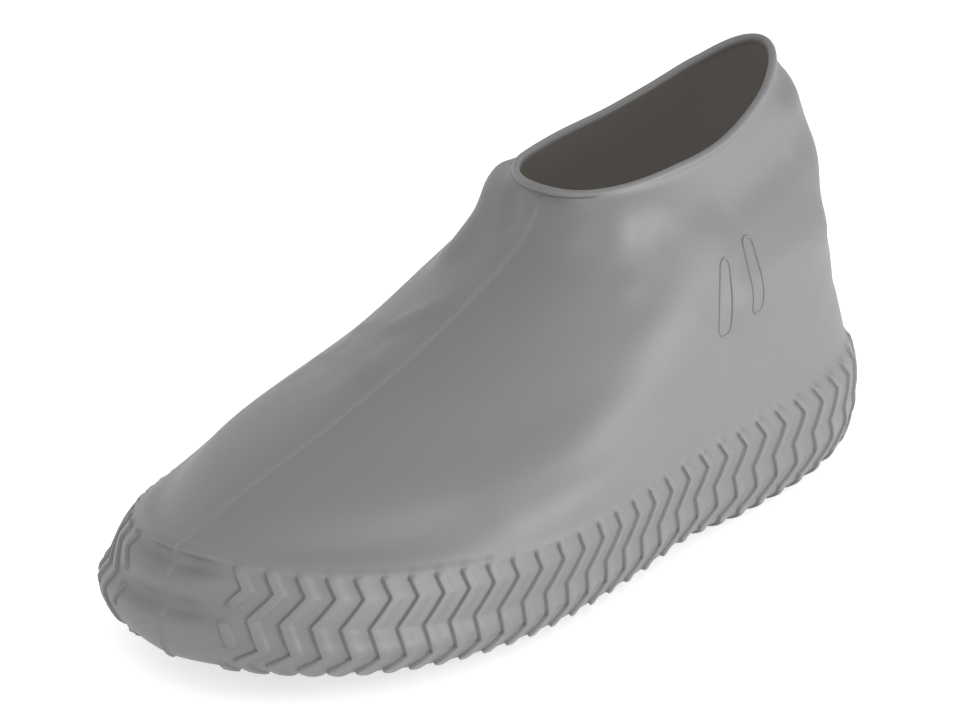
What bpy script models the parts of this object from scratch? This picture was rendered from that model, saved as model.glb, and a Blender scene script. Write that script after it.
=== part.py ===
"""Waterproof shoe cover: one hollow silicone moulding with a ribbed side band and tread.

X is the width, -Y the toe, +Z up. The skin is a stack of rings round the foot. A level of -1 is
the line under the middle of the sole, 0 the turn of the sole, 1 the top of the ribbed band and
2 the rim of the collar. A place on a ring is its share of the way from toe to heel.
"""

import bpy
import numpy as np

# Driving sizes in metres
LENGTH = 0.270  # toe to heel, on the smooth skin
BALL_WIDTH = 0.104  # widest place, on the smooth skin
BAND_HEIGHT = 0.030  # ribbed band, over the sole
COLLAR_HEIGHT = 0.1135  # back of the collar, over the sole
TOE_SPRING = 0.0108  # lift of the toe tip
ARCH_LIFT = 0.002  # lift of the sole under the arch
UPPER_WALL = 0.0012
BAND_WALL = 0.0016
SOLE_WALL = 0.0020
RIM_THICKNESS = 0.0024  # round bead along the opening
RIB_HEIGHT = 0.001  # how far the bars stand out, on the band and as tread
RIB_WIDTH = 0.003
RIB_SWING = 0.003  # how far a bar's bends reach to each side
RIB_RISER = 0.0004  # width of a bar's sloping flank
RIB_END = 0.0008  # length of a bar's sloping end
FIRST_RIB = 0.0184  # toe centre to the first bar, along the band
CENTRE_CHANNEL = 0.005  # plain strip under the middle of the sole

# Counts and shares
RIBS_PER_SIDE = 33
BEAD_POINTS = 8  # corners round the rim bead's section
PITCH_GROWTH = 0.45  # how much wider the bars are set at the heel than at the toe
CAP_SHARE = 0.26  # rounded end of a ring, as a share of its length
SPRING_START = -0.150  # where the toe spring begins, as a share of the length
ARCH_FROM = 0.0  # the arch runs between these shares of the length
ARCH_TO = 0.21
SPINE_FRONT = -0.39  # ends of the middle line of the sole, as shares of the length
SPINE_BACK = 0.385
SPINE_ENDS = 0.05  # the plain strip closes to a point over this share of each end
TOE_HOLD = 0.4  # how much of the zigzag the skin between toe centre and first bar follows
SKIN_COLOUR = (0.33, 0.34, 0.35, 1.0)
SKIN_ROUGHNESS = 0.55

# Rings of the skin. Front and back are shares of LENGTH from the middle, widths are shares of
# BALL_WIDTH on a half ring, heights are 1 at BAND_HEIGHT and 2 at COLLAR_HEIGHT.
RING_COLUMNS = ("level", "front", "back", "toe", "ball", "waist", "heel",
                "z_front", "z_ball", "z_waist", "z_heel", "z_back")
RINGS = (
    (0.000, -0.488, 0.463, 0.205, 0.345, 0.336, 0.320, 0.000, 0.000, 0.000, 0.000, 0.000),
    (0.307, -0.515, 0.499, 0.440, 0.486, 0.420, 0.374, 0.307, 0.307, 0.307, 0.307, 0.307),
    (0.540, -0.509, 0.502, 0.428, 0.495, 0.425, 0.378, 0.540, 0.540, 0.540, 0.540, 0.540),
    (0.900, -0.499, 0.492, 0.388, 0.490, 0.420, 0.368, 0.900, 0.900, 0.900, 0.900, 0.900),
    (1.000, -0.493, 0.486, 0.370, 0.484, 0.414, 0.358, 1.000, 1.000, 1.000, 1.000, 1.000),
    (1.085, -0.471, 0.470, 0.325, 0.464, 0.404, 0.345, 1.030, 1.085, 1.100, 1.130, 1.146),
    (1.170, -0.396, 0.461, 0.335, 0.420, 0.388, 0.334, 1.141, 1.170, 1.175, 1.190, 1.195),
    (1.293, -0.267, 0.450, 0.270, 0.370, 0.358, 0.310, 1.283, 1.293, 1.300, 1.310, 1.317),
    (1.440, -0.136, 0.435, 0.238, 0.337, 0.322, 0.275, 1.423, 1.439, 1.450, 1.463, 1.463),
    (1.600, -0.020, 0.426, 0.240, 0.290, 0.280, 0.232, 1.579, 1.585, 1.600, 1.610, 1.610),
    (1.800, 0.026, 0.411, 0.235, 0.232, 0.218, 0.175, 1.720, 1.695, 1.725, 1.810, 1.850),
    (2.000, 0.025, 0.382, 0.150, 0.175, 0.170, 0.125, 1.800, 1.811, 1.834, 1.922, 2.000),
)
WIDTH_STATIONS = (0.12, 0.33, 0.60, 0.86)
HEIGHT_STATIONS = (0.0, 0.33, 0.60, 0.86, 1.0)

# Bends of a bar, from the sole's middle up. The shift is towards the heel, as a share of RIB_SWING.
BEND_COLUMNS = ("level", "shift")
BENDS = (
    (-0.870, 0.50),
    (-0.640, -0.90),
    (-0.360, 0.90),
    (-0.090, -0.90),
    (0.030, 0.00),
    (0.155, -1.70),
    (0.307, 0.53),
    (0.540, -0.87),
    (0.783, 0.97),
    (0.970, 0.00),
)
BAR_LEVEL = 0.65  # the bars are set out along this level
TOP_LEVEL = 2.0
UNDER_RIM = 1.97  # just below the rim, where the wall's direction is read
UPPER_LEVELS = (1.04, 1.085, 1.13, 1.18, 1.24, 1.31, 1.38, 1.46, 1.55, 1.64, 1.73, 1.82, 1.90)
INNER_LEVELS = (1.90, 1.77, 1.64, 1.51, 1.39, 1.28, 1.18, 1.085, 0.98, 0.62, 0.307, 0.11, 0.01,
                -0.12, -0.55, -1.0)


def smooth(stations, values, at):
    """Cubic through the stations, straight beyond both ends."""
    stations = np.asarray(stations, dtype=float)
    values = np.asarray(values, dtype=float)
    at = np.atleast_1d(np.asarray(at, dtype=float))
    step = np.diff(stations)
    chord = (np.diff(values, axis=0).T / step).T
    inner = ((chord[:-1].T * step[1:] + chord[1:].T * step[:-1]) / (step[1:] + step[:-1])).T
    slope = np.concatenate([chord[:1], inner, chord[-1:]])
    cell = np.clip(np.searchsorted(stations, at) - 1, 0, len(step) - 1)
    share = (at - stations[cell]) / step[cell]
    held = np.clip(share, 0.0, 1.0)
    beyond = (share - held) * step[cell]
    tall = values.ndim > 1
    s = held[:, None] if tall else held
    width = step[cell][:, None] if tall else step[cell]
    end_slope = np.where((share > 1.0)[:, None] if tall else share > 1.0, slope[cell + 1], slope[cell])
    curve = (values[cell] * (1 + 2 * s) * (1 - s) ** 2 + values[cell + 1] * s ** 2 * (3 - 2 * s)
             + width * (slope[cell] * s * (1 - s) ** 2 - slope[cell + 1] * s ** 2 * (1 - s)))
    return curve + end_slope * (beyond[:, None] if tall else beyond)


def ring_row(level):
    """The ring table at any level. Below the first bend the sole turns up on a quarter ellipse."""
    table = np.array(RINGS)
    turn = table[1, 0]
    if level >= turn:
        row = smooth(table[:, 0], table, level)[0]
    else:
        share = max(level, 0.0) / turn
        out = np.sqrt(1.0 - (1.0 - share) ** 2)
        row = table[0] + (table[1] - table[0]) * out
        row[7:] = table[0, 7:] + (table[1, 7:] - table[0, 7:]) * share
    return dict(zip(RING_COLUMNS, row))


def height(share):
    """Height over the sole's skin: 1 is the top of the band, 2 the back of the collar."""
    band = np.minimum(share, 1.0) * BAND_HEIGHT
    return band + np.maximum(share - 1.0, 0.0) * (COLLAR_HEIGHT - BAND_HEIGHT)


def lift(y, level):
    """Toe spring, a parabola, and the arch, a soft hump that fades out up the band."""
    start = SPRING_START * LENGTH
    toe = np.clip((start - y) / (start + LENGTH / 2), 0.0, None)
    arch = np.clip((y / LENGTH - ARCH_FROM) / (ARCH_TO - ARCH_FROM), 0.0, 1.0)
    fade = np.clip(1.0 - max(level, 0.0), 0.0, 1.0)
    return TOE_SPRING * toe ** 2 + ARCH_LIFT * fade * np.sin(np.pi * arch) ** 2


def ring_curve(level):
    """Half a ring, toe centre to heel centre, with each point's distance along it."""
    row = ring_row(level)
    share = 0.5 - 0.5 * np.cos(np.linspace(0.0, np.pi, 361))
    widths = [row[name] for name in ("toe", "ball", "waist", "heel")]
    heights = [row[name] for name in ("z_front", "z_ball", "z_waist", "z_heel", "z_back")]
    near_toe = np.clip(share / CAP_SHARE, 0.0, 1.0)
    near_heel = np.clip((1.0 - share) / CAP_SHARE, 0.0, 1.0)
    cap = np.sqrt((1.0 - (1.0 - near_toe) ** 3) * (1.0 - (1.0 - near_heel) ** 3))
    x = smooth(WIDTH_STATIONS, widths, share) * BALL_WIDTH * cap
    y = (row["front"] + (row["back"] - row["front"]) * share) * LENGTH
    z = height(smooth(HEIGHT_STATIONS, heights, share)) + lift(y, level) + RIB_HEIGHT
    points = np.stack([x, y, z], axis=1)
    steps = np.linalg.norm(np.diff(points, axis=0), axis=1)
    return points, np.concatenate([[0.0], np.cumsum(steps)])


def skin(level, place, side):
    """Points of the outer skin at one level, at shares of the way round and signs of the side."""
    points, along = ring_curve(max(level, 0.0))
    found = np.stack([np.interp(place * along[-1], along, points[:, axis]) for axis in range(3)], axis=1)
    if level < 0.0:
        inward = -level
        half = CENTRE_CHANNEL / 2 * np.clip(np.minimum(place, 1.0 - place) / SPINE_ENDS, 0.0, 1.0)
        spine_y = (SPINE_FRONT + (SPINE_BACK - SPINE_FRONT) * place) * LENGTH
        found[:, 0] += (half - found[:, 0]) * inward
        found[:, 1] += (spine_y - found[:, 1]) * inward
        found[:, 2] = lift(found[:, 1], level) + RIB_HEIGHT
    found[:, 0] *= side
    return found


def skin_normals(level, place, side):
    """Outward directions of the skin, from its slopes along and across the ring."""
    step = 0.002
    if level < 0.0:
        y = skin(level, place, side)[:, 1]
        rise = (lift(y + step * LENGTH, level) - lift(y - step * LENGTH, level)) / (2 * step * LENGTH)
        across = np.stack([np.zeros_like(y), rise, -np.ones_like(y)], axis=1)
        return across / np.linalg.norm(across, axis=1, keepdims=True)
    low, high = np.clip(place - step, 0.0, 1.0), np.clip(place + step, 0.0, 1.0)
    along = skin(level, high, side) - skin(level, low, side)
    ends = (place < step) | (place > 1.0 - step)
    along[ends] = np.stack([side, 0.0 * side, 0.0 * side], axis=1)[ends]
    heel = place > 1.0 - step
    along[heel] *= -1.0
    up = skin(level + step, place, side) - skin(max(level - step, 0.0), place, side)
    across = np.cross(along, up) * side[:, None]
    return across / np.linalg.norm(across, axis=1, keepdims=True)


def rib_places():
    """Toe edge of each bar on one side, as a distance along the band, and the band's length."""
    total = ring_curve(BAR_LEVEL)[1][-1]
    growth = 1.0 + PITCH_GROWTH * np.arange(RIBS_PER_SIDE) / (RIBS_PER_SIDE - 1)
    pitch = (total - FIRST_RIB - RIB_WIDTH / 2) / (growth[:-1].sum() + growth[-1] / 2)
    starts = FIRST_RIB + pitch * np.concatenate([[0.0], np.cumsum(growth[:-1])])
    return starts, total


def bar_rows():
    """Rows of the ribbed skin: level, shift, and 1 where the bars stand out, with sloping ends."""
    bends = [dict(zip(BEND_COLUMNS, bend)) for bend in BENDS]
    rows = [(bend["level"], bend["shift"], 1) for bend in bends]
    inner_end = bends[0]["level"] - RIB_END / (RINGS[0][RING_COLUMNS.index("ball")] * BALL_WIDTH)
    upper_end = bends[-1]["level"] + RIB_END / BAND_HEIGHT
    return [(inner_end, bends[0]["shift"], 0), *rows, (upper_end, bends[-1]["shift"], 0)]


def columns():
    """Columns round the skin: share of the way, side, hold on the zigzag and height of the bar."""
    starts, total = rib_places()
    half_riser = RIB_RISER / 2
    edges = (-half_riser, half_riser, RIB_WIDTH - half_riser, RIB_WIDTH + half_riser)
    fine = [[(0.0, 0.0, 0)], [(FIRST_RIB / 2 / total, TOE_HOLD, 0)]]
    coarse = [0.0, FIRST_RIB / 2 / total]
    for start in starts:
        fine.append([((start + edge) / total, 1.0, int(0 < index < 3)) for index, edge in enumerate(edges)])
        coarse.append((start + RIB_WIDTH / 2) / total)
    fine.append([(1.0, 0.0, 0)])
    coarse.append(1.0)
    groups = [(group, 1.0) for group in fine] + [(group[::-1], -1.0) for group in fine[-2:0:-1]]
    fine_rows = [(place, side, hold, raised) for group, side in groups for place, hold, raised in group]
    sizes = [len(group) for group, side in groups]
    coarse_rows = [(place, 1.0) for place in coarse] + [(place, -1.0) for place in coarse[-2:0:-1]]
    return np.array(fine_rows), sizes, np.array(coarse_rows), total


def wall_at(level):
    """Wall thickness: sole, band and upper run into one another."""
    return np.interp(level, (-0.10, 0.20, 0.95, 1.10), (SOLE_WALL, BAND_WALL, BAND_WALL, UPPER_WALL))


class Shell:
    """Gathers loops of points and the faces between them."""

    def __init__(self):
        self.points = []
        self.faces = []

    def loop(self, points):
        first = len(self.points)
        self.points.extend(map(tuple, points))
        return list(range(first, len(self.points)))

    def grid(self, lower, upper):
        for a in range(len(lower)):
            b = (a + 1) % len(lower)
            self.faces.append((lower[a], lower[b], upper[b], upper[a]))

    def fan(self, fine, coarse, sizes, fine_below):
        """Joins a loop with four points at a bar to one with a single point there."""
        start = 0
        for index, size in enumerate(sizes):
            group = fine[start:start + size]
            start += size
            after = fine[start % len(fine)]
            here, there = coarse[index], coarse[(index + 1) % len(coarse)]
            found = [(a, b, here) for a, b in zip(group, group[1:])]
            found.append((group[-1], after, there, here))
            self.faces.extend(face if fine_below else face[::-1] for face in found)

    def ladder(self, loop, upward):
        """Closes the narrow loop round the middle line of the sole."""
        last = len(loop) // 2
        for a in range(last):
            left, left_next = loop[-a] if a else loop[0], loop[-(a + 1)]
            face = [loop[a], left, left_next, loop[a + 1]]
            face = tuple(dict.fromkeys(face))
            self.faces.append(face[::-1] if upward else face)


def outer_skin(shell, fine, sizes, coarse, total):
    """Sole with its tread, band with its bars, and the plain upper to under the rim."""
    place, side = coarse[:, 0], coarse[:, 1]
    spine = shell.loop(skin(-1.0, place, side))
    shell.ladder(spine, False)
    below = None
    for level, shift, raised in bar_rows():
        moved = fine[:, 0] + shift * RIB_SWING / total * fine[:, 2]
        points = skin(level, moved, fine[:, 1])
        points += skin_normals(level, moved, fine[:, 1]) * (RIB_HEIGHT * raised * fine[:, 3])[:, None]
        row = shell.loop(points)
        if below is None:
            shell.fan(row, spine, sizes, False)
        else:
            shell.grid(below, row)
        below = row
    for level in UPPER_LEVELS:
        row = shell.loop(skin(level, place, side))
        if level == UPPER_LEVELS[0]:
            shell.fan(below, row, sizes, True)
        else:
            shell.grid(below, row)
        below = row
    return below


def rim_bead(shell, below, coarse):
    """Round bead over the wall's edge, its top on the rim line."""
    place, side = coarse[:, 0], coarse[:, 1]
    top = skin(TOP_LEVEL, place, side)
    out = skin_normals(UNDER_RIM, place, side)
    down = skin(UNDER_RIM, place, side) - top
    down /= np.linalg.norm(down, axis=1, keepdims=True)
    radius = RIM_THICKNESS / 2
    centre = top + down * radius - out * UPPER_WALL / 2
    neck = np.arcsin(UPPER_WALL / 2 / radius)
    for turn in np.linspace(neck, 2 * np.pi - neck, BEAD_POINTS):
        row = shell.loop(centre + radius * (out * np.sin(turn) + down * np.cos(turn)))
        shell.grid(below, row)
        below = row
    return below


def inner_skin(shell, below, coarse):
    """Inside of the wall, down to the middle of the insole face."""
    place, side = coarse[:, 0], coarse[:, 1]
    for level in INNER_LEVELS:
        inward = skin_normals(level, place, side) * wall_at(level)
        row = shell.loop(skin(level, place, side) - inward)
        shell.grid(below, row)
        below = row
    shell.ladder(below, True)


def silicone():
    """Plain matt grey silicone."""
    material = bpy.data.materials.new("silicone")
    material.use_nodes = True
    shader = material.node_tree.nodes["Principled BSDF"]
    shader.inputs["Base Color"].default_value = SKIN_COLOUR
    shader.inputs["Roughness"].default_value = SKIN_ROUGHNESS
    shader.inputs["Metallic"].default_value = 0.0
    return material


def make_cover():
    """The whole cover, standing on z = 0 with the middle of its box on the Z axis."""
    fine, sizes, coarse, total = columns()
    shell = Shell()
    below = outer_skin(shell, fine, sizes, coarse, total)
    below = rim_bead(shell, below, coarse)
    inner_skin(shell, below, coarse)
    points = np.array(shell.points)
    middle = (points.min(axis=0) + points.max(axis=0)) / 2
    points -= (middle[0], middle[1], points[:, 2].min())
    mesh = bpy.data.meshes.new("cover")
    mesh.from_pydata(points.tolist(), [], shell.faces)
    mesh.shade_smooth()
    mesh.set_sharp_from_angle(angle=np.radians(32.0))
    mesh.materials.append(silicone())
    cover = bpy.data.objects.new("cover", mesh)
    bpy.context.scene.collection.objects.link(cover)


for old in list(bpy.data.objects):
    bpy.data.objects.remove(old)
make_cover()
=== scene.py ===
import bpy
import numpy as np
from mathutils import Matrix, Vector


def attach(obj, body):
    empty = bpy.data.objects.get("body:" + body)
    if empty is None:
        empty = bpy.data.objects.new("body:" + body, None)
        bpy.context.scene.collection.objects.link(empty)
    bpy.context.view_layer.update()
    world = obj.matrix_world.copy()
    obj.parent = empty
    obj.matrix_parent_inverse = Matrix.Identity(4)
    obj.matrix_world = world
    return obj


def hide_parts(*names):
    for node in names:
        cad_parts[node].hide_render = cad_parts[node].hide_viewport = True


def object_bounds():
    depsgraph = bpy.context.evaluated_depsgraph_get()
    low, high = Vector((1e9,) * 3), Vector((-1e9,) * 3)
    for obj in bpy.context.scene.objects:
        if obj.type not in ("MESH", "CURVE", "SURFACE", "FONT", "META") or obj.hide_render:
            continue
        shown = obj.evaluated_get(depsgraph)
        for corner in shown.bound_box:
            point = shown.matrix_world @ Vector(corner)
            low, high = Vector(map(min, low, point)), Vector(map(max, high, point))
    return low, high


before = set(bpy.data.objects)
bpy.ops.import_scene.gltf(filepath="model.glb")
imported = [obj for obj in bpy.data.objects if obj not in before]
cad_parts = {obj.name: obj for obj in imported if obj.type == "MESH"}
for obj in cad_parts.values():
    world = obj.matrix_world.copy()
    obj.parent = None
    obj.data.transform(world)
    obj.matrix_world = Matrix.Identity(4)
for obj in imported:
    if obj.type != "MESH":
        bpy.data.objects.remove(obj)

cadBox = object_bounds()
print("frame loaded", [tuple(round(v, 4) for v in corner) for corner in cadBox])


# The last: the same skin as the moulded part. Sizes are in metres, -y is the toe and +x the near side.
last = dict(
    length=0.270, ballWidth=0.104, bandHeight=0.030, collarHeight=0.1135,
    toeSpring=0.0108, archLift=0.002, ribHeight=0.001, centreChannel=0.005,
    upperWall=0.0012, bandWall=0.0016, soleWall=0.0020, wallLevels=(-0.10, 0.20, 0.95, 1.10),
    rimThickness=0.0024, capShare=0.26, springStart=-0.150, archFrom=0.0, archTo=0.21,
    spineFront=-0.39, spineBack=0.385, spineEnds=0.05, samples=361)

# Rings of the skin: level, front and back as shares of the length, four widths as shares of the
# ball width, five heights with 1 at the band's top and 2 at the back of the collar.
ringNames = ("level", "front", "back", "toe", "ball", "waist", "heel",
             "zFront", "zBall", "zWaist", "zHeel", "zBack")
rings = np.array((
    (0.000, -0.488, 0.463, 0.205, 0.345, 0.336, 0.320, 0.000, 0.000, 0.000, 0.000, 0.000),
    (0.307, -0.515, 0.499, 0.440, 0.486, 0.420, 0.374, 0.307, 0.307, 0.307, 0.307, 0.307),
    (0.540, -0.509, 0.502, 0.428, 0.495, 0.425, 0.378, 0.540, 0.540, 0.540, 0.540, 0.540),
    (0.900, -0.499, 0.492, 0.388, 0.490, 0.420, 0.368, 0.900, 0.900, 0.900, 0.900, 0.900),
    (1.000, -0.493, 0.486, 0.370, 0.484, 0.414, 0.358, 1.000, 1.000, 1.000, 1.000, 1.000),
    (1.085, -0.471, 0.470, 0.325, 0.464, 0.404, 0.345, 1.030, 1.085, 1.100, 1.130, 1.146),
    (1.170, -0.396, 0.461, 0.335, 0.420, 0.388, 0.334, 1.141, 1.170, 1.175, 1.190, 1.195),
    (1.293, -0.267, 0.450, 0.270, 0.370, 0.358, 0.310, 1.283, 1.293, 1.300, 1.310, 1.317),
    (1.440, -0.136, 0.435, 0.238, 0.337, 0.322, 0.275, 1.423, 1.439, 1.450, 1.463, 1.463),
    (1.600, -0.020, 0.426, 0.240, 0.290, 0.280, 0.232, 1.579, 1.585, 1.600, 1.610, 1.610),
    (1.800, 0.026, 0.411, 0.235, 0.232, 0.218, 0.175, 1.720, 1.695, 1.725, 1.810, 1.850),
    (2.000, 0.025, 0.382, 0.150, 0.175, 0.170, 0.125, 1.800, 1.811, 1.834, 1.922, 2.000)))
widthStations = (0.12, 0.33, 0.60, 0.86)
heightStations = (0.0, 0.33, 0.60, 0.86, 1.0)


def smoothCurve(stations, values, at):
    # cubic through the stations with averaged slopes, straight beyond both ends
    stations, values = np.asarray(stations, float), np.asarray(values, float)
    at = np.atleast_1d(np.asarray(at, float))
    flat = values.ndim == 1
    if flat:
        values = values[:, None]
    step = np.diff(stations)
    chord = np.diff(values, axis=0) / step[:, None]
    inner = (chord[:-1] * step[1:, None] + chord[1:] * step[:-1, None]) / (step[1:] + step[:-1])[:, None]
    slope = np.concatenate([chord[:1], inner, chord[-1:]])
    cell = np.clip(np.searchsorted(stations, at) - 1, 0, len(step) - 1)
    share = (at - stations[cell]) / step[cell]
    s = np.clip(share, 0.0, 1.0)[:, None]
    width = step[cell][:, None]
    beyond = (share[:, None] - s) * width
    curve = (values[cell] * (1 + 2 * s) * (1 - s) ** 2 + values[cell + 1] * s ** 2 * (3 - 2 * s)
             + width * (slope[cell] * s * (1 - s) ** 2 - slope[cell + 1] * s ** 2 * (1 - s)))
    curve = curve + np.where(beyond > 0, slope[cell + 1], slope[cell]) * beyond
    return curve[:, 0] if flat else curve


def ringRow(level):
    # the ring table at a level; below the first bend the sole turns up on a quarter ellipse
    turn = rings[1, 0]
    if level >= turn:
        row = smoothCurve(rings[:, 0], rings, level)[0]
    else:
        share = max(level, 0.0) / turn
        out = np.sqrt(1.0 - (1.0 - share) ** 2)
        row = rings[0] + (rings[1] - rings[0]) * out
        row[7:] = rings[0, 7:] + (rings[1, 7:] - rings[0, 7:]) * share
    return dict(zip(ringNames, row))


def riseOver(share):
    # height over the sole: 1 is the band's top, 2 the back of the collar
    band = np.minimum(share, 1.0) * last["bandHeight"]
    return band + np.maximum(share - 1.0, 0.0) * (last["collarHeight"] - last["bandHeight"])


def liftOf(y, level):
    # toe spring as a parabola, and the arch as a squared sine that fades out up the band
    start = last["springStart"] * last["length"]
    toe = np.clip((start - y) / (start + last["length"] / 2), 0.0, None)
    arch = np.clip((y / last["length"] - last["archFrom"]) / (last["archTo"] - last["archFrom"]), 0.0, 1.0)
    fade = np.clip(1.0 - max(level, 0.0), 0.0, 1.0)
    return last["toeSpring"] * toe ** 2 + last["archLift"] * fade * np.sin(np.pi * arch) ** 2


def ringCurve(level):
    # half a ring: width spline times a round cap at each end, with the distance along it
    row = ringRow(level)
    share = 0.5 - 0.5 * np.cos(np.linspace(0.0, np.pi, last["samples"]))
    nearToe = np.clip(share / last["capShare"], 0.0, 1.0)
    nearHeel = np.clip((1.0 - share) / last["capShare"], 0.0, 1.0)
    cap = np.sqrt((1.0 - (1.0 - nearToe) ** 3) * (1.0 - (1.0 - nearHeel) ** 3))
    widths = [row[name] for name in ("toe", "ball", "waist", "heel")]
    heights = [row[name] for name in ("zFront", "zBall", "zWaist", "zHeel", "zBack")]
    x = smoothCurve(widthStations, widths, share) * last["ballWidth"] * cap
    y = (row["front"] + (row["back"] - row["front"]) * share) * last["length"]
    z = riseOver(smoothCurve(heightStations, heights, share)) + liftOf(y, level) + last["ribHeight"]
    points = np.stack([x, y, z], axis=1)
    steps = np.linalg.norm(np.diff(points, axis=0), axis=1)
    return points, np.concatenate([[0.0], np.cumsum(steps)])


def skinPoints(level, place, side):
    # a ring at shares of its way from toe to heel; below 0 it shrinks to the sole's middle strip
    points, along = ringCurve(max(level, 0.0))
    found = np.stack([np.interp(place * along[-1], along, points[:, axis]) for axis in range(3)], axis=1)
    if level < 0.0:
        ends = np.clip(np.minimum(place, 1.0 - place) / last["spineEnds"], 0.0, 1.0)
        spineY = last["spineFront"] + (last["spineBack"] - last["spineFront"]) * place
        found[:, 0] += (last["centreChannel"] / 2 * ends - found[:, 0]) * -level
        found[:, 1] += (spineY * last["length"] - found[:, 1]) * -level
        found[:, 2] = liftOf(found[:, 1], level) + last["ribHeight"]
    found[:, 0] *= side
    return found


def skinNormals(level, place, side, step=0.002):
    # cross product of the slopes along and across the ring; straight down under the sole
    if level < 0.0:
        y = skinPoints(level, place, side)[:, 1]
        reach = step * last["length"]
        rise = (liftOf(y + reach, level) - liftOf(y - reach, level)) / (2 * reach)
        across = np.stack([np.zeros_like(y), rise, -np.ones_like(y)], axis=1)
    else:
        low, high = np.clip(place - step, 0.0, 1.0), np.clip(place + step, 0.0, 1.0)
        along = skinPoints(level, high, side) - skinPoints(level, low, side)
        toe, heel = place < step, place > 1.0 - step
        flat = np.stack([side, 0.0 * side, 0.0 * side], axis=1)
        along = np.where(toe[:, None], flat, np.where(heel[:, None], -flat, along))
        up = skinPoints(level + step, place, side) - skinPoints(max(level - step, 0.0), place, side)
        across = np.cross(along, up) * side[:, None]
    return across / np.linalg.norm(across, axis=1, keepdims=True)


# Zigzag bars of the band and tread. In bends, where a bar bends, from the sole's middle up, and by
# how much of the swing it has moved towards the heel there. A flank is outside at its first distance
# from the bar's middle line and at full height from its second. Towards the heel the first bars end
# in a step, and the later ones run out into the band. A fine groove lies at the foot on the toe side.
bars = dict(
    perSide=33, width=0.003, swing=0.003, first=0.0184, growth=0.45, level=0.65,
    toeward=(0.0014, 0.0008, 0.0003), toeFlank=(0.00163, 0.00148),
    heelFlanks=((0.00190, 0.00130), (0.00200, 0.00120), (0.00240, 0.00080), (0.00340, -0.00030)),
    bends=((-0.870, 0.50), (-0.640, -0.90), (-0.360, 0.90), (-0.090, -0.90), (0.030, 0.00),
           (0.155, -1.70), (0.307, 0.53), (0.540, -0.95), (0.783, 0.97), (0.970, -0.35)),
    corner=0.009, cornerSteps=9, topEnd=1.2, heights=((0.0, 0.25, 0.88, 0.97), (1.0, 0.72, 0.72, 0.85)),
    firstBarGaps=((0.505, 0.605), (0.100, 0.270)), foot=0.00012, footAt=0.00173, footReach=0.00009)

# Where the mesh has its columns and rows. Columns: distances from the toe's middle and from a bar's
# middle line, in millimetres, and shares of the gap to the next bar. Rows: levels, and for an even
# run its first level, its last and the count.
grid = dict(
    toe=(0.0, 0.17, 0.35, 0.55, 0.8, 1.2, 1.8, 2.8, 4.2, 6.0, 8.0, 10.2, 12.4, 14.4, 16.0),
    bar=(-1.90, -1.73, -1.61, -1.49, -1.38, 0.0, 1.28, 1.60, 1.92),
    gap=(0.25, 0.5, 0.75), lastGap=(0.35, 0.65, 0.85, 0.95),
    sole=(-0.965, -0.03, 22),
    turn=(0.003, 0.012, 0.027, 0.050, 0.080, 0.110, 0.135, 0.155, 0.175, 0.200, 0.230, 0.260, 0.288, 0.307),
    band=(0.325, 0.360, 0.400, 0.440, 0.465, 0.480, 0.496, 0.512, 0.528, 0.541, 0.554, 0.570, 0.586,
          0.602, 0.618, 0.640, 0.680, 0.720, 0.750, 0.771, 0.783, 0.796, 0.820, 0.855, 0.890),
    top=(0.912, 0.930, 0.945, 0.958, 0.972, 0.988, 1.004),
    upper=(1.010, 1.170, 1.293, 1.440, 1.600, 1.955), upperShares=(0.0, 0.26, 0.46, 0.63, 0.78, 1.0),
    upperCount=63, innerUpper=(1.94, 1.10, 12),
    inner=(1.04, 0.97, 0.88, 0.76, 0.60, 0.45, 0.307, 0.2, 0.11, 0.04, 0.004, -0.12, -0.40, -0.75, -1.0))


def softStep(low, high, value):
    # 0 at low, 1 at high, with a smooth start and end; low may be the larger of the two
    share = np.clip((value - low) / (high - low), 0.0, 1.0)
    return share * share * (3.0 - 2.0 * share)


def barPlaces():
    # toe edge of each bar along the band: the pitch grows evenly from toe to heel
    total = ringCurve(bars["level"])[1][-1]
    growth = 1.0 + bars["growth"] * np.arange(bars["perSide"]) / (bars["perSide"] - 1)
    pitch = (total - bars["first"] - bars["width"] / 2) / (growth[:-1].sum() + growth[-1] / 2)
    starts = bars["first"] + pitch * np.concatenate([[0.0], np.cumsum(growth[:-1])])
    starts[:len(bars["toeward"])] -= bars["toeward"]
    return starts, total


def bendShift(level):
    # zigzag of straight runs, with each corner rounded by averaging over a short stretch
    levels, shifts = np.array(bars["bends"]).T
    spread = np.linspace(-1.0, 1.0, bars["cornerSteps"]) * bars["corner"]
    return np.mean([np.interp(level + offset, levels, shifts) for offset in spread]) * bars["swing"]


def columnBlock(place, offset=1.0, hold=1.0, first=0.0, outer=0.0, inner=-1.0):
    # a stretch of columns, with single values repeated over it
    return np.stack(np.broadcast_arrays(place, offset, hold, first, outer, inner), axis=1)


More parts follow.
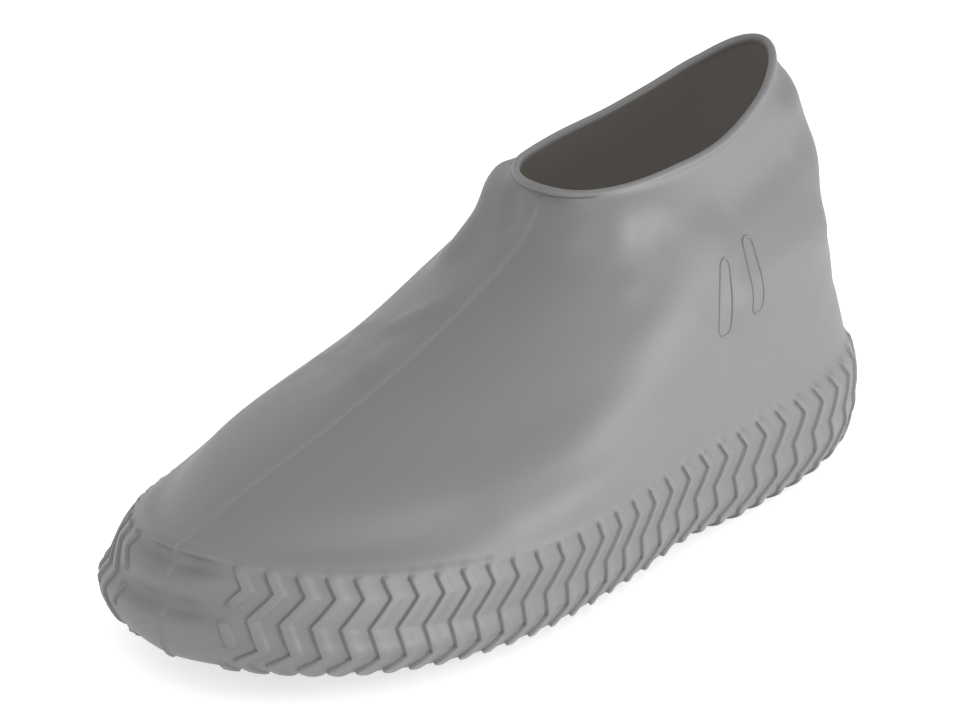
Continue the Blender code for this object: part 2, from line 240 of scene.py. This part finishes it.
def columnTable():
    # One side's columns, toe centre to heel centre: the place in metres along the band, the offset
    # from its bar's middle line, how far it follows the zigzag, whether it belongs to the first bar,
    # and that bar's heel flank. There is an odd number, so that every other one holds both centres.
    starts, total = barPlaces()
    toe, across = np.array(grid["toe"]) / 1000, np.array(grid["bar"]) / 1000
    blocks = [columnBlock(toe, hold=toe / bars["first"])]
    for index, start in enumerate(starts):
        middle = start + bars["width"] / 2
        heelmost = index == len(starts) - 1
        shares = np.array(grid["lastGap"] if heelmost else grid["gap"])
        end = total if heelmost else starts[index + 1] + bars["width"] / 2 + across[0]
        offset = np.concatenate([across, (end - middle - across[-1]) * shares + across[-1]])
        hold = np.concatenate([across * 0.0 + 1.0, 1.0 - shares if heelmost else shares * 0.0 + 1.0])
        flank = bars["heelFlanks"][min(index, len(bars["heelFlanks"]) - 1)]
        blocks.append(columnBlock(middle + offset, offset, hold, float(index == 0), *flank))
    blocks.append(columnBlock(np.array([total]), hold=0.0))
    names = ("place", "offset", "hold", "first", "outer", "inner")
    return dict(zip(names, np.concatenate(blocks).T)), total


columns, bandLength = columnTable()
print("columns on one side", len(columns["place"]))


def ribbedLevels():
    # rows of the ribbed part, close together at the zigzag's corners, ends and the sole's turn
    return np.concatenate([np.linspace(*grid["sole"]), grid["turn"], grid["band"], grid["top"]])


def upperLevels():
    # rows of the plain upper, spread so that they lie about 1.5 mm apart on the vamp
    return np.interp(np.linspace(0.0, 1.0, grid["upperCount"]), grid["upperShares"], grid["upper"])


def barHeight(level, row):
    # A bar is a capsule along the zigzag: its height falls off over the flanks with the distance
    # hypot(offset, past), past being how far a place lies beyond the middle of a round end. The
    # first bar has gaps that leave a chevron above, a short slash below it and the tread's bar.
    radius, across = bars["width"] / 2, last["ballWidth"] * rings[0, ringNames.index("ball")]
    lowEnd, highEnd = bars["bends"][0][0], bars["bends"][-1][0]
    above = (level - highEnd) * last["bandHeight"] + radius * bars["topEnd"]
    past = max(above, (lowEnd - level) * across + radius, 0.0)
    for low, high in bars["firstBarGaps"]:
        gap = radius + min(level - low, high - level) * last["bandHeight"]
        past = np.maximum(past, np.where(row["first"] > 0.5, gap, 0.0))
    away = np.hypot(row["offset"], past)
    toeSide, heelSide = softStep(*bars["toeFlank"], away), softStep(row["outer"], row["inner"], away)
    height = np.where(row["offset"] < 0, toeSide, heelSide)
    full = np.interp(level, *bars["heights"]) * last["ribHeight"]
    groove = bars["foot"] * np.exp(-((away - bars["footAt"]) / bars["footReach"]) ** 2) * (row["offset"] < 0)
    return full * height - groove


def wallAt(level):
    # wall thickness: sole, band and upper run into one another
    stops = (last["soleWall"], last["bandWall"], last["bandWall"], last["upperWall"])
    return np.interp(level, last["wallLevels"], stops)


# Soft troughs and ridges. A path runs over the skin, reach is how far to each side
# the form fades out, and height is out of the skin or, where negative, into it.
folds = (
    # under the collar on the near side: dimple at the ankle, a soft ridge before it, and a bump
    dict(height=-0.0012, reach=0.0055, path=((0.0232, 0.0220, 0.0885), (0.0242, 0.0260, 0.0875))),
    dict(height=0.0003, reach=0.0036, path=((0.0167, 0.0125, 0.0905), (0.0127, 0.0075, 0.0870))),
    dict(height=0.0004, reach=0.0034, path=((0.0268, 0.0095, 0.0758), (0.0280, 0.0125, 0.0758))),
    # long soft edge from the back of the ankle down to the ball, with a hollow above its heel end
    dict(height=0.0027, reach=0.0085, path=((0.0273, 0.0947, 0.0690), (0.0301, 0.0842, 0.0675),
                                            (0.0326, 0.0677, 0.0655), (0.0345, 0.0519, 0.0630))),
    dict(height=0.0013, reach=0.0090, path=((0.0367, 0.0300, 0.0590), (0.0375, 0.0143, 0.0565),
                                            (0.0393, -0.0009, 0.0530), (0.0410, -0.0291, 0.0466),
                                            (0.0411, -0.0568, 0.0410))),
    dict(height=-0.0028, reach=0.0092, path=((0.0200, 0.0930, 0.0910), (0.0265, 0.0750, 0.0880),
                                             (0.0300, 0.0580, 0.0850))),
    # far side of the collar's front: hollow beside the rim and the fold that stands out past it
    dict(height=-0.0013, reach=0.0032, path=((-0.0095, 0.0090, 0.0925), (-0.0066, 0.0051, 0.0870))),
    dict(height=0.0022, reach=0.0050, path=((-0.0205, 0.0185, 0.0925), (-0.0194, 0.0126, 0.0877),
                                            (-0.0193, 0.0062, 0.0808), (-0.0185, -0.0029, 0.0762))),
    # far side of the vamp: two short folds that run up to the parting line, each with a hollow
    dict(height=0.0011, reach=0.0034, path=((-0.0267, -0.0299, 0.0601), (-0.0153, -0.0329, 0.0649),
                                            (-0.0079, -0.0252, 0.0699))),
    dict(height=-0.0009, reach=0.0040, path=((-0.0260, -0.0370, 0.0575), (-0.0150, -0.0400, 0.0620))),
    dict(height=0.0009, reach=0.0030, path=((-0.0316, -0.0412, 0.0536), (-0.0166, -0.0489, 0.0592),
                                            (-0.0080, -0.0528, 0.0603))),
    dict(height=-0.0006, reach=0.0040, path=((-0.0300, -0.0500, 0.0520), (-0.0160, -0.0570, 0.0570))),
    # back of the heel: the skin is drawn in under the rim and stands out below
    dict(height=-0.0017, reach=0.0045, path=((0.0125, 0.0960, 0.1045), (0.0, 0.1070, 0.1075),
                                             (-0.0125, 0.0960, 0.1045))),
    dict(height=0.0005, reach=0.0022, path=((0.0122, 0.1027, 0.1015), (0.0177, 0.0966, 0.0965),
                                            (0.0212, 0.0931, 0.0916))),
    dict(height=0.0018, reach=0.0068, path=((0.0100, 0.1085, 0.0850), (0.0215, 0.1000, 0.0835))),
)


def foldHeight(points):
    # sum over the folds of height times a bell curve of the distance to the fold's path
    total = np.zeros(len(points))
    for fold in folds:
        path = np.array(fold["path"])
        nearest = np.full(len(points), np.inf)
        for a, b in zip(path[:-1], path[1:]):
            share = np.clip((points - a) @ (b - a) / ((b - a) @ (b - a)), 0.0, 1.0)
            nearest = np.minimum(nearest, np.linalg.norm(points - a - share[:, None] * (b - a), axis=1))
        total += fold["height"] * np.exp(-(nearest / fold["reach"]) ** 2)
    return total


# Across the toe's front, by level: the groove under the brow, the belly and the lower groove. They
# end at the brow, between the two levels of ends.
toeFront = dict(
    levels=(0.880, 0.700, 0.500), heights=(-0.0025, 0.0007, -0.0020), reaches=(0.080, 0.080, 0.085),
    ends=(1.04, 0.94), behind=-0.08, tilt=1.0, fadeFrom=0.006, fadeTo=0.018,
    shallow=0.35, shallowReach=0.0028)
parting = dict(height=0.00062, reach=0.00040)


def toeGrooves(level, points):
    # sum of bell curves over the level, a little lower on the far side, faded out round the sides
    # and shallower at the parting line
    x, y = points[:, 0], points[:, 1]
    total = np.zeros(len(points))
    for middle, height, reach in zip(toeFront["levels"], toeFront["heights"], toeFront["reaches"]):
        total += height * np.exp(-((level - middle - toeFront["tilt"] * x) / reach) ** 2)
    fade = softStep(toeFront["fadeTo"], toeFront["fadeFrom"], np.abs(x)) * (y < toeFront["behind"])
    atLine = 1.0 - toeFront["shallow"] * np.exp(-(x / toeFront["shallowReach"]) ** 2)
    return total * fade * atLine * softStep(*toeFront["ends"], level)


def partingLine(points):
    # the mould's parting line: a fine ridge along x = 0
    return parting["height"] * np.exp(-(points[:, 0] / parting["reach"]) ** 2)


def skinRow(level, row, side, shift=0.0):
    # points and normals of the smooth skin for one row of columns
    share = np.clip((row["place"] + shift * row["hold"]) / bandLength, 0.0, 1.0)
    return skinPoints(level, share, side), skinNormals(level, share, side)


def ribbedRows(row, side):
    # sole, turn and band: the smooth skin, moved along its normals by bars, grooves and folds
    yield skinRow(-1.0, row, side)[0], 0.0, 0.0
    for level in ribbedLevels():
        points, normals = skinRow(level, row, side, bendShift(level))
        bar = barHeight(level, row)
        form = bar
        if level > 0:
            form = bar + (toeGrooves(level, points) + partingLine(points) + foldHeight(points))
        yield points + normals * form[:, None], bar / last["ribHeight"], 0.0


def upperRows(row, side):
    # vamp, quarters and ankle: the smooth skin, moved along its normals by grooves and folds
    for level in upperLevels():
        points, normals = skinRow(level, row, side)
        form = toeGrooves(level, points) + partingLine(points) + foldHeight(points)
        yield points + normals * form[:, None], 0.0, 0.0


# Rim bead: the level whose wall it follows, how far round it starts and ends beside the wall, in
# radians, its steps, and after how many half turns it takes some of the inside's painted shade and painted
# light, and how much
rim = dict(follows=1.97, tuck=0.15, steps=13, paintedShadeFrom=1.1, shade=0.6)


def rimRows(row, side):
    # a circle in the plane of the skin's normal and its slope, centred on the wall's edge
    share = np.clip(row["place"] / bandLength, 0.0, 1.0)
    top, under = skinPoints(2.0, share, side), skinPoints(rim["follows"], share, side)
    out = skinNormals(rim["follows"], share, side)
    pushed = out * foldHeight(top)[:, None]
    down = (under - top) / np.linalg.norm(under - top, axis=1, keepdims=True)
    radius = last["rimThickness"] / 2
    centre = top + down * radius - out * last["upperWall"] / 2 + pushed
    neck = np.arcsin(last["upperWall"] / 2 / radius) + rim["tuck"]
    for turn in np.linspace(neck, 2 * np.pi - neck, rim["steps"]):
        # the bead's inner half takes part of the inside's painted shade and painted light
        shade = 0.0 if turn < np.pi * rim["paintedShadeFrom"] else rim["shade"]
        yield centre + radius * (out * np.sin(turn) + down * np.cos(turn)), 0.0, shade


# On the upper the inner face lies deeper, to clear the folds between its wide rows: by how much,
# and the levels where this starts and is full
innerFace = dict(deeper=0.0010, start=1.93, full=1.75, plainBelow=0.3)


def innerRows(row, side):
    # the smooth skin, moved in by the wall's thickness, from the rim down to the sole's middle
    for level in np.concatenate([np.linspace(*grid["innerUpper"]), grid["inner"]]):
        points, normals = skinRow(level, row, side)
        form = np.zeros(len(points))
        if level > innerFace["plainBelow"]:
            form = toeGrooves(level, points) + foldHeight(points)
        deeper = innerFace["deeper"] * softStep(innerFace["start"], innerFace["full"], level)
        # inside rows take the full weight of the inside's painted shade and painted light
        yield points + normals * (form - wallAt(level) - deeper)[:, None], 0.0, 1.0


def skinFaces(sizes):
    # a grid between rows of one size, three corners then four where two columns become one
    firsts = np.concatenate([[0], np.cumsum(sizes)])
    quads, tris = [], []
    for index in range(len(sizes) - 1):
        lower, upper = firsts[index], firsts[index + 1]
        if sizes[index] == sizes[index + 1]:
            a = np.arange(sizes[index])
            b = (a + 1) % sizes[index]
            quads.append(np.stack([lower + a, lower + b, upper + b, upper + a], axis=1))
        else:
            k = np.arange(sizes[index + 1])
            after = (k + 1) % sizes[index + 1]
            fine = lower + (2 * k + 2) % sizes[index]
            tris.append(np.stack([lower + 2 * k, lower + 2 * k + 1, upper + k], axis=1))
            quads.append(np.stack([lower + 2 * k + 1, fine, upper + after, upper + k], axis=1))
    for first, size, up in ((0, sizes[0], False), (firsts[-2], sizes[-1], True)):
        # ladder across the middle of the sole: each column to its mirror image
        a = np.arange(1, size // 2 - 1)
        ladder = np.stack([first + a, first + size - a, first + size - a - 1, first + a + 1], axis=1)
        ends = np.array([[first, first + size - 1, first + 1],
                         [first + size // 2 - 1, first + size // 2 + 1, first + size // 2]])
        quads.append(ladder[:, ::-1] if up else ladder)
        tris.append(ends[:, ::-1] if up else ends)
    return [*np.concatenate(quads).tolist(), *np.concatenate(tris).tolist()]


def coverMesh():
    # all rows from the sole's middle up the outside, over the rim and down the inside; the ribbed
    # part has every column, the rest every other one
    fine = {name: np.concatenate([values, values[-2:0:-1]]) for name, values in columns.items()}
    count = len(columns["place"])
    side = np.concatenate([np.ones(count), -np.ones(count - 2)])
    coarse = {name: values[::2] for name, values in fine.items()}
    rows = [*ribbedRows(fine, side), *upperRows(coarse, side[::2]), *rimRows(coarse, side[::2]),
            *innerRows(coarse, side[::2])]
    # inside holds, per row, the weight of the inside's painted shade and painted light
    points, raised, inside = zip(*rows)
    sizes = [len(row) for row in points]
    raised = np.concatenate([np.broadcast_to(value, size) for value, size in zip(raised, sizes)])
    return np.concatenate(points), skinFaces(sizes), raised, np.repeat(inside, sizes)


def addMesh(name, points, faces, attributes=()):
    # vertices and faces into a new object at the origin, shaded smooth
    mesh = bpy.data.meshes.new(name)
    mesh.from_pydata(points.tolist(), [], faces)
    for label, values in attributes:
        layer = mesh.attributes.new(label, "FLOAT", "POINT")
        layer.data.foreach_set("value", np.asarray(values, np.float32))
    mesh.shade_smooth()
    mesh.update()
    piece = bpy.data.objects.new(name, mesh)
    bpy.context.scene.collection.objects.link(piece)
    return piece


coverPoints, coverFaces, coverRaised, coverInsideShade = coverMesh()
# The smooth skin was modelled about its own middle; the frame's box says where it stands.
boxMiddle = [(cadBox[0][axis] + cadBox[1][axis]) / 2 for axis in range(3)]
ownMiddle = (coverPoints[:, 1].min() + coverPoints[:, 1].max()) / 2
stand = np.array([boxMiddle[0], boxMiddle[1] - ownMiddle, cadBox[0][2] - coverPoints[:, 2].min()])
# the inside attribute marks where the painted shade and painted light of the inside apply
cover = addMesh("cover_skin", coverPoints + stand, coverFaces,
                (("raised", coverRaised), ("inside", coverInsideShade)))
print("skin moved by", stand.round(5), "triangles", sum(len(face) - 2 for face in coverFaces))


class Recipe:
    # a material's node tree; add makes any node, with its settings first and then its sockets, by
    # name or as n and a number
    def __init__(self, name):
        self.material = bpy.data.materials.new(name)
        self.material.use_nodes = True
        self.tree = self.material.node_tree
        self.shader = self.tree.nodes["Principled BSDF"]

    def add(self, kind, settings=None, **sockets):
        node = self.tree.nodes.new("ShaderNode" + kind)
        for key, value in (settings or {}).items():
            setattr(node, key, value)
        for key, value in sockets.items():
            numbered = key[0] == "n" and key[1:].isdigit()
            self.put(node.inputs[int(key[1:])] if numbered else node.inputs[key], value)
        return node

    def put(self, socket, value):
        if isinstance(value, Value):
            value = value.socket
        if isinstance(value, bpy.types.NodeSocket):
            self.tree.links.new(value, socket)
        else:
            socket.default_value = value

    def blend(self, amount, first, second):
        # the colour between two: sockets 6 and 7 are a colour Mix node's A and B
        return self.add("Mix", {"data_type": "RGBA"}, n0=amount, n6=first, n7=second).outputs[2]


class Value:
    # a number that varies over the surface: an expression on values adds its Math nodes
    def __init__(self, recipe, socket):
        self.recipe, self.socket = recipe, socket

    def join(self, operation, first, second):
        node = self.recipe.add("Math", {"operation": operation}, n0=first, n1=second)
        return Value(self.recipe, node.outputs[0])

    def __add__(self, other):
        return self.join("ADD", self, other)

    def __mul__(self, other):
        return self.join("MULTIPLY", self, other)

    __radd__ = __add__
    __rmul__ = __mul__


# Grey silicone. The inside has a darker, browner base colour, which is painted shade, and a faint emission,
# which is painted light.
# Clouds, specks and grain are noise: scale and detail.
silicone = dict(
    skin=(0.152, 0.153, 0.156, 1.0), shade=(0.142, 0.143, 0.145, 1.0), dust=(0.190, 0.190, 0.190, 1.0),
    inner=(0.030, 0.028, 0.025, 1.0), glow=(0.060, 0.054, 0.049, 1.0), dark=(0.0, 0.0, 0.0, 1.0),
    clouds=(22.0, 3.0), specks=(420.0, 4.0), grain=(1900.0, 3.0), barDust=0.18, speckDust=0.10,
    roughness=0.39, cloudRoughness=0.14, speckRoughness=0.08,
    bump=0.35, bumpDepth=0.00012, grainBump=0.6, speckBump=0.8)


def makeSilicone():
    # colour, roughness and bump from three noises and the two attributes of the skin
    recipe = Recipe("silicone skin")
    where = recipe.add("TexCoord").outputs["Object"]

    def noise(name):
        scale, detail = silicone[name]
        return Value(recipe, recipe.add("TexNoise", Vector=where, Scale=scale, Detail=detail).outputs["Fac"])

    def attribute(name):
        return Value(recipe, recipe.add("Attribute", {"attribute_name": name}).outputs["Fac"])

    clouds, specks, grain = noise("clouds"), noise("specks"), noise("grain")
    raised, inside = attribute("raised"), attribute("inside")
    mottled = recipe.blend(clouds, silicone["shade"], silicone["skin"])
    dusty = raised * silicone["barDust"] + specks * silicone["speckDust"]
    dusted = recipe.blend(dusty, mottled, silicone["dust"])
    # painted shade and painted light: where inside is 1 the base colour turns dark and brown and the
    # emission paints in a fixed brightness
    recipe.put(recipe.shader.inputs["Base Color"], recipe.blend(inside, dusted, silicone["inner"]))
    glow = recipe.blend(inside, silicone["dark"], silicone["glow"])
    recipe.put(recipe.shader.inputs["Emission Color"], glow)
    recipe.shader.inputs["Emission Strength"].default_value = 1.0
    uneven = clouds * silicone["cloudRoughness"] + specks * silicone["speckRoughness"]
    recipe.put(recipe.shader.inputs["Roughness"], uneven + silicone["roughness"])
    height = grain * silicone["grainBump"] + specks * silicone["speckBump"]
    bump = recipe.add("Bump", Strength=silicone["bump"], Distance=silicone["bumpDepth"], Height=height)
    recipe.put(recipe.shader.inputs["Normal"], bump.outputs["Normal"])
    return recipe.material


# A plain moulded mark on the near side: two slanted round-ended outlines. A stroke runs from one
# place along the band and level to another; half is its half width, and line and proud are the half
# width and height of the outline. Around a stroke its patch of skin reaches past it by margin.
mark = dict(strokes=(((0.1564, 1.499), (0.1764, 1.325)), ((0.1782, 1.522), (0.1952, 1.345))),
            half=0.0025, line=0.00038, proud=0.00030, margin=(0.045, 0.05), count=96, corners=8, cells=24)


def stadium(length, radius, count):
    # A closed outline, evenly spaced: straight run, half circle, run back, half circle. Along a half
    # circle the angle is the way gone over the radius.
    run, bow = length, np.pi * radius
    s = np.arange(count) / count * 2 * (run + bow)
    there, back = np.clip((s - run) / radius, 0.0, np.pi), np.clip((s - 2 * run - bow) / radius, 0.0, np.pi)
    u = np.minimum(s, run) - np.clip(s - run - bow, 0.0, run) + radius * (np.sin(there) - np.sin(back))
    v = radius * np.where(s < 2 * run + bow, np.cos(there), -np.cos(back))
    return u, v


def strokeOutline(start, end):
    # An outline is laid on a patch of the folded skin. In the patch's middle a step across the stroke
    # is a least-squares mix of two steps, one in place and one in level; it holds for the whole patch.
    cells, half = mark["cells"], mark["cells"] // 2
    levels = np.linspace(end[1] - mark["margin"][1], start[1] + mark["margin"][1], cells)
    places = np.linspace(start[0] - mark["margin"][0], end[0] + mark["margin"][0], cells)
    one = np.ones(cells)
    skin = np.array([skinPoints(level, places, one) for level in levels])
    normals = np.array([skinNormals(level, places, one) for level in levels])
    skin += normals * foldHeight(skin.reshape(-1, 3)).reshape(cells, cells, 1)
    onward, upward = skin[half, half + 1] - skin[half, half - 1], skin[half + 1, half] - skin[half - 1, half]
    slopes = np.stack([onward, upward]) / 2
    cell = np.array([places[1] - places[0], levels[1] - levels[0]])
    way = (end - start) / cell
    run = way @ slopes
    length = np.linalg.norm(run)
    beside = np.cross(normals[half, half], run / length)
    aside = np.linalg.lstsq(slopes.T, beside, rcond=None)[0]
    u, v = stadium(length, mark["half"], mark["count"])
    first = (start - (places[0], levels[0])) / cell
    column, row = (first + u[:, None] * way / length + v[:, None] * aside).T
    r, c = row.astype(int), column.astype(int)
    dr, dc = (row - r)[:, None], (column - c)[:, None]
    return [(values[r, c] * (1 - dr) + values[r + 1, c] * dr) * (1 - dc)
            + (values[r, c + 1] * (1 - dr) + values[r + 1, c + 1] * dr) * dc for values in (skin, normals)]


def markMesh():
    # a flat round line swept along each outline: an ellipse across the run and along the normal
    count, corners = mark["count"], mark["corners"]
    around = np.arange(corners) / corners * 2 * np.pi
    across, outward = np.cos(around)[:, None] * mark["line"], np.sin(around)[:, None] * mark["proud"]
    a, b = np.divmod(np.arange(count * corners), corners)
    after, beyond = (a + 1) % count * corners, (b + 1) % corners
    ring = np.stack([a * corners + b, after + b, after + beyond, a * corners + beyond], axis=1)
    points = []
    for start, end in np.array(mark["strokes"]) / (bandLength, 1.0):
        base, out = strokeOutline(start, end)
        on = np.roll(base, -1, axis=0) - np.roll(base, 1, axis=0)
        beside = np.cross(on / np.linalg.norm(on, axis=1, keepdims=True), out)
        points.append((base[:, None] + across * beside[:, None] + outward * out[:, None]).reshape(-1, 3))
    faces = np.concatenate([ring + index * count * corners for index in range(len(points))])
    return np.concatenate(points), faces.tolist()


siliconeSkin = makeSilicone()
markPoints, markFaces = markMesh()
sideMark = addMesh("side_mark", markPoints + stand, markFaces)
for piece in (cover, sideMark):
    piece.data.materials.append(siliconeSkin)
    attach(piece, "root")
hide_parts("cover")
print("cover and mark made")


# Plain pale studio. A lamp has the way towards it from aim and its power in watts.
studio = dict(
    floor=(0.60, 0.60, 0.60, 1.0), roughness=0.9, glow=0.62, size=3.0, sky=0.82, white=(1.0, 1.0, 1.0, 1.0),
    aim=(0.0, 0.0, 0.04), lampDistance=1.1, lampSize=0.9, lamps=(
        ("side light", (0.88, 0.46, 0.10), 13.0), ("front light", (0.40, -0.75, 0.60), 3.8),
        ("far light", (-0.95, 0.25, 0.35), 1.2)))


def makeFloor():
    # a square at the height that the cover stands on
    half = studio["size"] / 2
    corners = np.array([[-half, -half, 0], [half, -half, 0], [half, half, 0], [-half, half, 0]], float)
    corners[:, 2] = cadBox[0][2]
    floor = addMesh("floor", corners, [[0, 1, 2, 3]])
    recipe = Recipe("pale floor")
    recipe.shader.inputs["Base Color"].default_value = studio["floor"]
    recipe.shader.inputs["Roughness"].default_value = studio["roughness"]
    recipe.shader.inputs["Emission Color"].default_value = studio["white"]
    recipe.shader.inputs["Emission Strength"].default_value = studio["glow"]
    floor.data.materials.append(recipe.material)


def addLamp(name, towards, power):
    # a round lamp that faces aim
    lamp = bpy.data.lights.new(name, "AREA")
    lamp.shape = "DISK"
    lamp.size = studio["lampSize"]
    lamp.energy = power
    holder = bpy.data.objects.new(name, lamp)
    direction = Vector(towards).normalized()
    holder.location = Vector(studio["aim"]) + direction * studio["lampDistance"]
    holder.rotation_euler = direction.to_track_quat("Z", "Y").to_euler()
    bpy.context.scene.collection.objects.link(holder)


def makeSky():
    # an even white sky
    world = bpy.data.worlds.new("studio")
    world.use_nodes = True
    background = world.node_tree.nodes["Background"]
    background.inputs["Color"].default_value = studio["white"]
    background.inputs["Strength"].default_value = studio["sky"]
    bpy.context.scene.world = world
    bpy.context.scene.view_settings.view_transform = "Standard"


makeFloor()
for lampRow in studio["lamps"]:
    addLamp(*lampRow)
makeSky()


# The photograph's view: azimuth from -y towards +x, elevation and roll, in degrees. The photograph
# is 953 pixels wide, where one radian spans 6034 of them, and the shoe fills more of this picture.
shot = dict(
    azimuth=37.0, elevation=22.6, roll=3.015, distance=1.80, height=0.05, across=-0.0079, above=0.0035,
    pixelsPerRadian=6033.7, photoWidth=953, closer=1.15, sensor=36.0, clipStart=0.05)


def makeCamera():
    # the view's own axes, turned by the roll, at the distance from a point over the floor
    a, e, r = np.radians([shot["azimuth"], shot["elevation"], shot["roll"]])
    back = np.array([np.sin(a) * np.cos(e), -np.cos(a) * np.cos(e), np.sin(e)])
    right = np.array([np.cos(a), np.sin(a), 0.0])
    up = np.cross(back, right)
    turnedRight = right * np.cos(r) + up * np.sin(r)
    turnedUp = up * np.cos(r) - right * np.sin(r)
    target = np.array([0.0, 0.0, shot["height"]]) + turnedRight * shot["across"] + turnedUp * shot["above"]
    turn = Matrix(np.stack([turnedRight, turnedUp, back], axis=1).tolist()).to_4x4()
    camera = bpy.data.objects.new("camera", bpy.data.cameras.new("camera"))
    camera.data.sensor_width = shot["sensor"]
    camera.data.lens = shot["pixelsPerRadian"] * shot["closer"] / shot["photoWidth"] * shot["sensor"]
    camera.data.clip_start = shot["clipStart"]
    camera.matrix_world = Matrix.Translation(Vector(target + back * shot["distance"])) @ turn
    bpy.context.scene.collection.objects.link(camera)
    bpy.context.scene.camera = camera


makeCamera()
print("studio and camera made")
